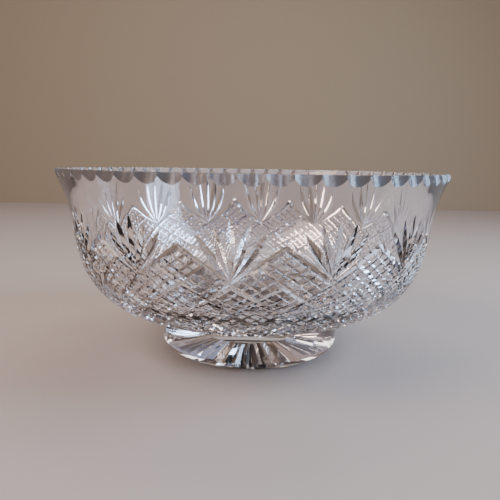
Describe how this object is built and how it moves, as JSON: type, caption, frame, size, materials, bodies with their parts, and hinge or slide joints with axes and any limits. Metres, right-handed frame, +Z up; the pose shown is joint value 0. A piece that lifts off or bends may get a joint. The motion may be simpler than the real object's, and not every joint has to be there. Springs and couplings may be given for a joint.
{
  "type": "punch bowl",
  "caption": "Clear cut crystal punch bowl: a wide open bowl with a flared, scalloped rim and mitre cut fans over a diamond lattice, seated on a thick round glass foot.",
  "frame": {"origin": "centre of the foot's underside, on the bowl's axis", "axes": "+Z up along the bowl's axis, out of the open mouth; -Y towards the viewer, where one rim scallop is centred"},
  "size_m": [0.2782, 0.2781, 0.1323],
  "materials": {
    "crystal_bowl": "polished lead crystal, clear",
    "crystal_foot": "polished lead crystal, clear",
    "clear_bond": "clear cured glass bond"
  },
  "bodies": {
    "root": {"bowl": "crystal_bowl", "foot": "crystal_foot", "bond_film": "clear_bond"}
  },
  "joints": []
}
